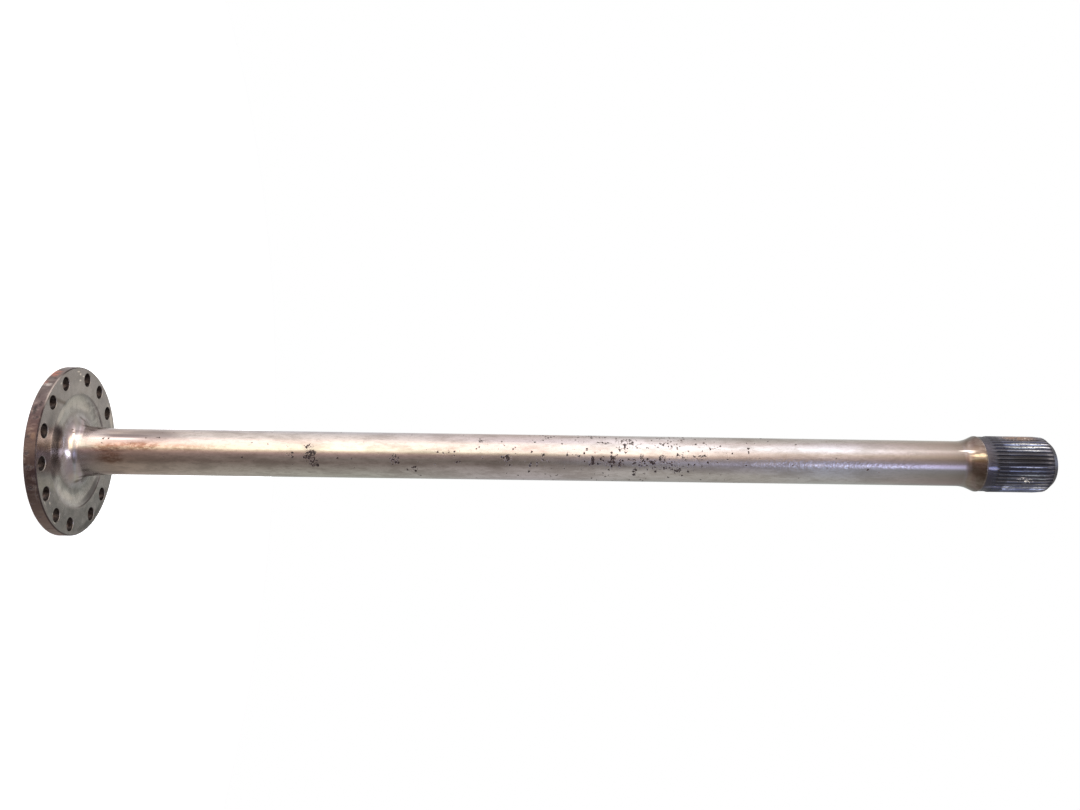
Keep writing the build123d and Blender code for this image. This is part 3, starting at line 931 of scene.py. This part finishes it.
def makeHobbedSpline():
    finish = hobbedSpline
    material, tree = newMaterial("hobbedSpline")
    at = shaftCoordinates(tree)
    areas = {}
    for name in ("toothHighlightPatches", "shadedPatches", "reliefGlints", "greasePatches", "dents"):
        areas[name] = spotMask(tree, at["wrapped"], fromEnd(finish[name]))
    root = spline["rootRadius"]
    lift = {0: at["radius"], 1: root * mm, 2: (root + finish["scaleLift"]) * mm}
    lift = add(tree, "MapRange", smooth, lift)
    colour = layOver(tree, finish, toLinear(finish["root"]), [(lift, "scale")])
    blot, drag, grit = noisePatterns(tree, at["place"], finish["patterns"])

    # polished band, with a ragged start
    start = (shaftEnd - finish["wornFrom"]) * mm
    stop = (shaftEnd - finish["wornTo"]) * mm
    blend = finish["wornBlend"] * mm
    wobble = finish["wornWobble"] * mm
    wobble = add(tree, "MapRange", None, {0: blot, 1: 0.3, 2: 0.7, 3: -wobble, 4: wobble})
    shifted = add(tree, "Math", plus, {0: at["height"], 1: wobble})
    entry = add(tree, "MapRange", smooth, {0: shifted, 1: start - blend, 2: start + blend})
    leave = add(tree, "MapRange", smooth, {0: shifted, 1: stop + blend, 2: stop - blend})
    band = add(tree, "Math", times, {0: entry, 1: leave})
    worn = add(tree, "Math", times, {0: band, 1: lift})
    patchy = add(tree, "MapRange", smooth, {0: blot, 1: 0.30, 2: 0.52, 3: 0.45, 4: 1.0})
    worn = add(tree, "Math", times, {0: worn, 1: patchy})

    # painted highlights on the worn teeth, broken up where the tips are scraped, dragged along the teeth and
    # chipped by grit
    scuffed = add(tree, "MapRange", smooth, {0: drag, 1: 0.40, 2: 0.55, 3: 0.2, 4: 1.0})
    chipped = add(tree, "MapRange", smooth, {0: grit, 1: 0.40, 2: 0.52, 3: 0.35, 4: 1.0})
    brightest = add(tree, "Math", times, {0: areas["toothHighlightPatches"], 1: scuffed})
    brightest = add(tree, "Math", times, {0: brightest, 1: chipped})
    tones = [(brightest, "bright"), (areas["shadedPatches"], "shaded")]
    wornTint = layOver(tree, finish, toLinear(finish["worn"]), tones)
    colour = add(tree, "Mix", colourMix, {0: worn, 6: colour, 7: wornTint})

    # darker scale on the end chamfer, a browner relief groove, and bluish glints in it
    chamferStart = shaftEnd - forging["endChamfer"]
    low, high = ((chamferStart + step) * mm for step in finish["endBlend"])
    atEnd = add(tree, "MapRange", smooth, {0: at["height"], 1: low, 2: high})
    grooveEnd = shaftEnd - finish["grooveEnd"]
    high, low = ((grooveEnd + step) * mm for step in finish["grooveBlend"])
    groove = add(tree, "MapRange", smooth, {0: at["height"], 1: high, 2: low})
    tones = [(atEnd, "endScale"), (groove, "relief"), (areas["reliefGlints"], "reliefGlint")]
    colour = layOver(tree, finish, colour, tones)

    # brown grease with crumbs along the top of the photograph's view, dents with bright sharp edges
    cover = add(tree, "MapRange", smooth, {0: blot, 1: 0.34, 2: 0.50, 3: 0.25, 4: 1.0})
    grease = add(tree, "Math", times, {0: areas["greasePatches"], 1: cover})
    crumb = add(tree, "MapRange", smooth, {0: grit, 1: 0.58, 2: 0.65})
    crumb = add(tree, "Math", times, {0: crumb, 1: grease})
    bite = add(tree, "MapRange", smooth, {0: grit, 1: 0.50, 2: 0.58})
    dent = add(tree, "Math", times, {0: areas["dents"], 1: bite})
    colour = layOver(tree, finish, colour, [(grease, "grease"), (crumb, "crumbs"), (dent, "dentMetal")])
    low, high = finish["roughness"]
    rough = add(tree, "MapRange", None, {0: blot, 1: 0.3, 2: 0.7, 3: low, 4: high})
    rough = add(tree, "Mix", valueMix, {0: worn, 2: rough, 3: finish["wornRoughness"]})
    rough = add(tree, "Mix", valueMix, {0: grease, 2: rough, 3: finish["greaseRoughness"]})
    metal = add(tree, "MapRange", None, {0: grease, 1: 0.0, 2: 1.0, 3: 1.0, 4: finish["greaseMetallic"]})
    sunk = add(tree, "Math", minus, {0: crumb, 1: dent})
    relief = stackedRelief(tree, [(drag, 0.5, finish["dragDepth"]), (sunk, 1.0, finish["biteDepth"])])
    shader = {"Base Color": colour, "Metallic": metal, "Roughness": rough, **relief}
    add(tree, "OutputMaterial", None, {"Surface": add(tree, "BsdfPrincipled", None, shader)})
    return material


# Faced ends. The eye gets dull brown steel with lathe rings round the centre hole, drawn wider apart than
# a real feed so that they show.
facedEnd = {
    "metal": "#93877F",
    "stain": "#5A4A42",
    "roughness": (0.34, 0.6),
    "patterns": {"stain": ((14, 14, 14), 6, 0.62, 0)},
    "ringSpacing": 1.4,
    "ringDepth": 0.12,
}


def makeFacedEnd():
    finish = facedEnd
    material, tree = newMaterial("facedEnd")
    at = shaftCoordinates(tree)
    stain = noisePatterns(tree, at["place"], finish["patterns"])[0]
    share = add(tree, "MapRange", smooth, {0: stain, 1: 0.42, 2: 0.68})
    colour = layOver(tree, finish, toLinear(finish["metal"]), [(share, "stain")])
    ring = add(tree, "CombineXYZ", None, {0: at["radius"]})
    ring = scaled(tree, ring, (finish["ringSpacing"], 1, 1))
    ring = add(tree, "TexNoise", None, {"Vector": ring, "Scale": 1.0, "Detail": 2.0}, out="Fac")
    relief = stackedRelief(tree, [(ring, 0.6, finish["ringDepth"])])
    low, high = finish["roughness"]
    rough = add(tree, "MapRange", None, {0: stain, 1: 0.3, 2: 0.7, 3: low, 4: high})
    shader = {"Base Color": colour, "Metallic": 1.0, "Roughness": rough, **relief}
    add(tree, "OutputMaterial", None, {"Surface": add(tree, "BsdfPrincipled", None, shader)})
    return material


makers = [makeTurnedSteel, makeForgedRim, makeDrilledHole, makeHobbedSpline, makeFacedEnd]
zones = ["turned", "rim", "hole", "spline", "end"]  # in the order of the makers


def zoneOf(face):
    # Which finish a face takes, from its place on the forging
    x, y, z = (c / mm for c in face.center)
    radius = math.hypot(x, y)
    pitch = math.radians(holes["pitch"])
    outermost = holes["inGroup"] // 2
    nearest = max(-outermost, min(outermost, round(math.atan2(y, abs(x)) / pitch))) * pitch
    holeX, holeY = holes["circleRadius"] * math.cos(nearest), holes["circleRadius"] * math.sin(nearest)
    toHole = math.hypot(abs(x) - holeX, y - holeY)
    inHole = toHole < holes["radius"] + 0.9 * holes["chamfer"]
    steep = abs(face.normal.z) < 0.9
    near = 0.05
    if inHole and steep:
        return "hole"
    if radius > rimRadius - forging["rimChamfer"] - near:
        return "rim"
    if z < near or z > shaftEnd - near or radius < forging["mouthRadius"]:
        return "end"
    if z > shaftEnd - forging["shoulderToEnd"] + forging["shoulderLand"]:
        return "spline"
    return "turned"


for maker in makers:
    shaft.data.materials.append(maker())
shaft.data.polygons.foreach_set("material_index", [zones.index(zoneOf(face)) for face in shaft.data.polygons])
flat = 0.99999
shaft.data.polygons.foreach_set("use_smooth", [abs(face.normal.z) <= flat for face in shaft.data.polygons])
shaft.data.set_sharp_from_angle(angle=math.radians(28))
shaft.data.update()
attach(shaft, "root")
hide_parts("axle_shaft")
print("finishes given to", len(makers), "zones")

# Pale floor that the part stands on. It glows, so that it is white like the photograph's background.
paleFloor = {
    "colour": "#F2F2F0",
    "roughness": 0.9,
    "radius": 0.9,  # metres
    "segments": 128,
    "drop": 0.0002,  # metres under the part, so that the two never share a plane
    # the glow is stronger towards the middle, painting light over the part's shadow on the floor
    "glowFrom": 0.12,  # metres from the middle
    "glowInside": 0.75,
    "glowOutside": 0.45,
}
bm = bmesh.new()
bmesh.ops.create_circle(bm, cap_ends=True, radius=paleFloor["radius"], segments=paleFloor["segments"])
bmesh.ops.translate(bm, verts=bm.verts, vec=(0, 0, -paleFloor["drop"]))
floor = meshObject("floor", bm)
floor.visible_glossy = False
material, tree = newMaterial("paleFloor")
place = add(tree, "TexCoord", out="Object")
distance = add(tree, "VectorMath", length, {0: place}, out="Value")
glow = {0: distance, 1: paleFloor["glowFrom"], 2: paleFloor["radius"]}
glow = add(tree, "MapRange", smooth, {**glow, 3: paleFloor["glowInside"], 4: paleFloor["glowOutside"]})
shader = {"Base Color": toLinear(paleFloor["colour"]), "Roughness": paleFloor["roughness"]}
shader = {**shader, "Emission Color": (1, 1, 1, 1), "Emission Strength": glow}
add(tree, "OutputMaterial", None, {"Surface": add(tree, "BsdfPrincipled", None, shader)})
floor.data.materials.append(material)

# Light of a soft studio tent, by angle round the shaft: 0 is the camera's side, 90 the top of the
# photograph. What the polished steel mirrors was matched to the reflections in the photograph.
studio = {
    # heights of the light over the level in degrees, and its colours round the shaft
    "rows": [
        ((-26,), [  # towards the flange
            (-180, (0.42, 0.4, 0.38)), (-134, (0.51, 0.48, 0.45)), (-74, (0.42, 0.4, 0.37)),
            (-42, (0.25, 0.21, 0.19)), (-5, (0.42, 0.34, 0.33)), (5, (0.61, 0.48, 0.42)),
            (14, (1, 0.87, 0.7)), (23, (1.8, 1.6, 1.3)), (33, (2.3, 1.7, 1.5)),
            (63, (2.2, 2.1, 2.2)), (86, (1.3, 1.4, 1.5)), (114, (1.1, 1.1, 1.1)),
            (180, (0.77, 0.76, 0.79)),
        ]),
        ((-10,), [
            (-180, (0.4, 0.42, 0.39)), (-114, (0.55, 0.59, 0.56)), (-42, (0.28, 0.25, 0.24)),
            (-23, (0.29, 0.27, 0.26)), (-5, (0.43, 0.35, 0.35)), (5, (0.67, 0.51, 0.5)),
            (14, (1.3, 1.1, 0.91)), (23, (2.3, 2.4, 2)), (63, (2.2, 2, 1.9)),
            (86, (1.45, 1.4, 1.4)), (134, (0.87, 0.89, 0.96)), (180, (0.74, 0.75, 0.79)),
        ]),
        ((1,), [  # level with the camera
            (-180, (0.43, 0.44, 0.45)), (-114, (0.62, 0.61, 0.64)), (-63, (0.53, 0.51, 0.52)),
            (-42, (0.3, 0.27, 0.26)), (-23, (0.23, 0.21, 0.19)), (5, (0.4, 0.34, 0.32)),
            (14, (0.8, 0.7, 0.57)), (23, (1.7, 1.6, 1.4)), (33, (2.2, 1.7, 1.6)),
            (63, (2.1, 2, 1.9)), (86, (1.3, 1.2, 1.3)), (134, (0.88, 0.8, 0.79)),
            (180, (0.74, 0.67, 0.65)),
        ]),
        ((9,), [
            (-180, (0.45, 0.48, 0.47)), (-74, (0.69, 0.71, 0.7)), (-42, (0.37, 0.37, 0.37)),
            (-33, (0.34, 0.35, 0.39)), (-14, (0.48, 0.5, 0.62)), (5, (0.7, 0.61, 0.62)),
            (14, (1.6, 1.35, 1.2)), (23, (2.4, 2.3, 2.1)), (63, (2.1, 2.2, 2.3)),
            (86, (2, 2, 2.1)), (99, (1.8, 1.8, 1.9)), (134, (0.8, 0.82, 0.84)), (180, (0.7, 0.71, 0.7)),
        ]),
        ((14,), [
            (-180, (0.47, 0.48, 0.46)), (-86, (0.61, 0.63, 0.6)), (-33, (0.41, 0.4, 0.48)),
            (-23, (0.58, 0.58, 0.74)), (-5, (0.42, 0.4, 0.42)), (5, (0.49, 0.44, 0.41)),
            (14, (0.7, 0.56, 0.48)), (33, (1.5, 1.3, 1.2)), (63, (2.1, 2.2, 2.3)),
            (86, (1.3, 1.2, 1.2)), (99, (0.95, 0.92, 0.88)), (134, (0.66, 0.66, 0.64)),
            (180, (0.64, 0.63, 0.61)),
        ]),
        ((20,), [  # towards the spline
            (-180, (0.47, 0.51, 0.48)), (-114, (0.63, 0.7, 0.71)), (-42, (0.53, 0.61, 0.77)),
            (-33, (0.56, 0.64, 0.83)), (-23, (0.92, 1, 1.4)), (-5, (0.53, 0.58, 0.8)),
            (14, (0.73, 0.65, 0.71)), (33, (1.5, 1.4, 1.3)), (52, (2.4, 2.6, 2.9)),
            (99, (1.1, 1.1, 1.2)), (114, (0.89, 0.91, 0.9)), (180, (0.68, 0.7, 0.69)),
        ]),
        ((26,), [
            (-180, (0.38, 0.43, 0.41)), (-114, (0.56, 0.55, 0.58)), (-63, (0.45, 0.53, 0.52)),
            (-36, (0.55, 0.68, 0.8)), (-23, (1.7, 2.1, 3.4)), (-14, (1.6, 1.8, 3)),
            (-4, (0.64, 0.68, 0.85)), (14, (0.56, 0.56, 0.52)), (34, (1, 1, 0.9)),
            (50, (1.2, 1.15, 1.1)), (62, (2, 2.1, 2.1)), (75, (1.1, 1.1, 1.05)),
            (180, (0.8, 0.82, 0.78)),
        ]),
        ((36,), [  # over the spline end
            (-180, (0.5, 0.48, 0.46)), (-13, (0.52, 0.5, 0.57)), (24, (0.85, 0.78, 0.7)),
            (46, (1.4, 1.3, 1.2)), (56, (2.4, 2.3, 2.2)), (64, (4.4, 4.3, 4.1)),
            (92, (4.4, 4.3, 4.3)), (106, (1.7, 1.6, 1.6)), (134, (0.67, 0.65, 0.67)),
            (180, (0.6, 0.6, 0.58)),
        ]),
        ((44, 58), [  # seen in the neck
            (-180, (0.5, 0.48, 0.46)), (-13, (0.52, 0.5, 0.57)), (4, (0.9, 0.83, 0.75)),
            (14, (3.2, 3, 2.4)), (48, (3.6, 3.4, 2.8)), (62, (2.2, 2, 1.9)), (84, (1.2, 1.1, 1.1)),
            (134, (0.67, 0.65, 0.67)), (180, (0.6, 0.6, 0.58)),
        ]),
        ((66,), [
            (-180, (0.5, 0.48, 0.46)), (-60, (0.58, 0.55, 0.54)), (0, (0.62, 0.57, 0.6)),
            (30, (0.9, 0.8, 0.84)), (70, (0.9, 0.8, 0.84)), (110, (0.66, 0.62, 0.64)),
            (180, (0.6, 0.58, 0.56)),
        ]),
    ],
    "cap": (0.62, 0.58, 0.56),  # straight along the shaft, beyond the spline
    "capFrom": (70, 82),
    # soft lamps: angle round the shaft, height over the level, half sizes in degrees, light
    "lamps": [
        (-13, 74, 24, 30, (4.5, 5.0, 6.5)),
        (167, 84, 36, 22, (4.0, 4.5, 6.0)),
        (-40, 68, 14, 9, (2.2, 2.3, 2.7)),
    ],
    "lampCore": 0.45,  # share of a lamp's half sizes that is fully bright
    "strength": 1.0,
}
world = bpy.data.worlds.new("studio")
bpy.context.scene.world = world
world.use_nodes = True
tree = world.node_tree
tree.nodes.clear()
direction = add(tree, "TexCoord", out="Generated")
turned = add(tree, "VectorRotate", upright, {"Vector": direction, "Angle": -holeTurn})
parts = add(tree, "SeparateXYZ", None, {0: turned}).node.outputs
towardsCamera = add(tree, "Math", times, {0: parts[0], 1: -1.0})
angle = add(tree, "Math", arcTangent, {0: parts[1], 1: towardsCamera})
place = add(tree, "MapRange", None, {0: angle, 1: -math.pi, 2: math.pi, 3: 0.0, 4: 1.0})
perRadian = 180 / math.pi
degrees = add(tree, "Math", times, {0: angle, 1: perRadian})
lift = add(tree, "Math", {"operation": "ARCSINE"}, {0: parts[2]})
lift = add(tree, "Math", times, {0: lift, 1: perRadian})

# one ramp round the shaft for each row, each row blended into the next one above
light = None
below = None
for rises, colours in studio["rows"]:
    stops = [((a + 180) / 360, colour) for a, colour in colours]
    row = add(tree, "ValToRGB", {"stops": stops}, {0: place}, out="Color")
    if light is None:
        light = row
    else:
        share = add(tree, "MapRange", smooth, {0: lift, 1: below, 2: rises[0]})
        light = add(tree, "Mix", colourMix, {0: share, 6: light, 7: row})
    below = rises[-1]
share = add(tree, "MapRange", smooth, {0: lift, 1: studio["capFrom"][0], 2: studio["capFrom"][1]})
light = add(tree, "Mix", colourMix, {0: share, 6: light, 7: (*studio["cap"], 1)})
for atAngle, atRise, halfAngle, halfRise, colour in studio["lamps"]:
    away = add(tree, "CombineXYZ", None, {0: degrees, 1: lift})
    away = add(tree, "VectorMath", minus, {0: away, 1: (atAngle, atRise, 0)})
    away = add(tree, "VectorMath", times, {0: away, 1: (1 / halfAngle, 1 / halfRise, 0)})
    distance = add(tree, "VectorMath", length, {0: away}, out="Value")
    lit = add(tree, "MapRange", smooth, {0: distance, 1: 1.0, 2: studio["lampCore"]})
    light = add(tree, "Mix", colourMix, {0: lit, 6: light, 7: (*colour, 1)})
seen = add(tree, "LightPath", out="Is Camera Ray")
glow = add(tree, "Background", None, {"Color": light, "Strength": studio["strength"]})
white = add(tree, "Background", None, {"Color": (1, 1, 1, 1), "Strength": 1.0})
surface = add(tree, "MixShader", None, {0: seen, 1: glow, 2: white})
add(tree, "OutputWorld", None, {"Surface": surface})
bpy.context.scene.view_settings.view_transform = "Standard"
print("studio light and floor ready")
